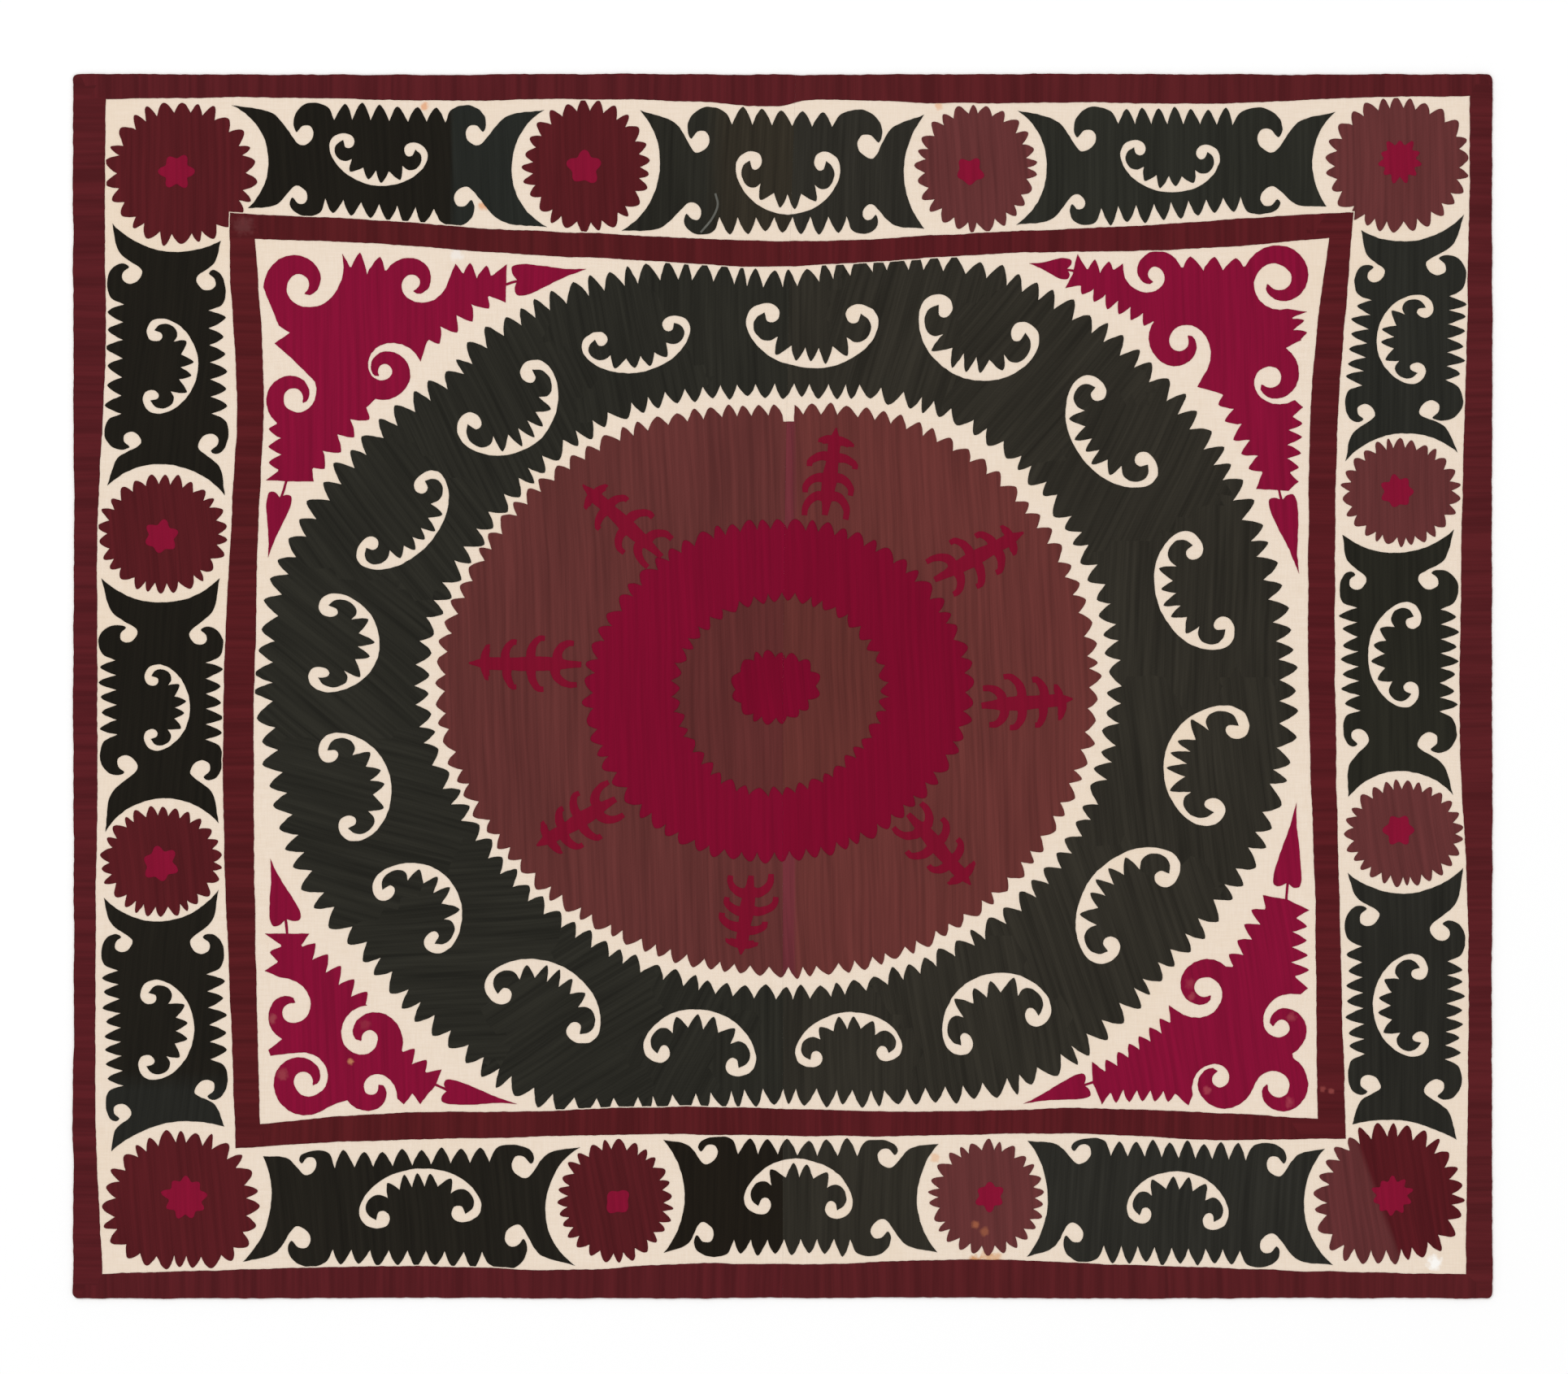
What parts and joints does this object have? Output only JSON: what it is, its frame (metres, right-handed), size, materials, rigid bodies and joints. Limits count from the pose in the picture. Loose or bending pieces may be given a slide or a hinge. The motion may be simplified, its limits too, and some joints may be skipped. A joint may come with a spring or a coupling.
{
  "type": "embroidered suzani textile",
  "caption": "Flat rectangular suzani hanging: two cotton panels sewn along a centre seam and couched with silk rounds, scrolling borders and corner motifs.",
  "frame": {"origin": "centre of the cloth's rectangle, on its underside, which lies on the surface", "axes": "+Z out of the embroidered face, +Y to the cloth's top edge along the centre seam, +X to its right edge as seen from the front"},
  "size_m": [1.746, 1.506, 0.0026],
  "materials": {
    "cotton": "plain-weave unbleached cotton",
    "maroon": "maroon silk couching, soft sheen",
    "brown": "red-brown silk couching, soft sheen",
    "magenta": "deep magenta silk couching, soft sheen",
    "black": "green-black silk couching, soft sheen"
  },
  "bodies": {
    "root": {"cartouche_bottom_a": "black", "cartouche_bottom_b_left": "black", "cartouche_bottom_b_right": "black", "cartouche_bottom_c": "black", "cartouche_left_a": "black", "cartouche_left_b": "black", "cartouche_left_c": "black", "cartouche_right_a": "black", "cartouche_right_b": "black", "cartouche_right_c": "black", "cartouche_top_a": "black", "cartouche_top_b_left": "black", "cartouche_top_b_right": "black", "cartouche_top_c": "black", "disc_left": "brown", "disc_right": "brown", "heart_left": "magenta", "heart_right": "magenta", "inner_band_left": "maroon", "inner_band_right": "maroon", "inner_disc_left": "brown", "inner_disc_right": "brown", "outer_band_left": "maroon", "outer_band_right": "maroon", "panel_left": "cotton", "panel_right": "cotton", "pink_ring_left": "magenta", "pink_ring_right": "magenta", "ring_left": "black", "ring_right": "black", "rosette_bottom_a": "maroon", "rosette_bottom_b": "maroon", "rosette_bottom_c": "brown", "rosette_bottom_d": "brown", "rosette_left_a": "maroon", "rosette_left_b": "maroon", "rosette_right_a": "brown", "rosette_right_b": "brown", "rosette_top_a": "maroon", "rosette_top_b": "maroon", "rosette_top_c": "brown", "rosette_top_d": "brown", "spandrel_bottom_left": "magenta", "spandrel_bottom_right": "magenta", "spandrel_top_left": "magenta", "spandrel_top_right": "magenta"}
  },
  "joints": []
}
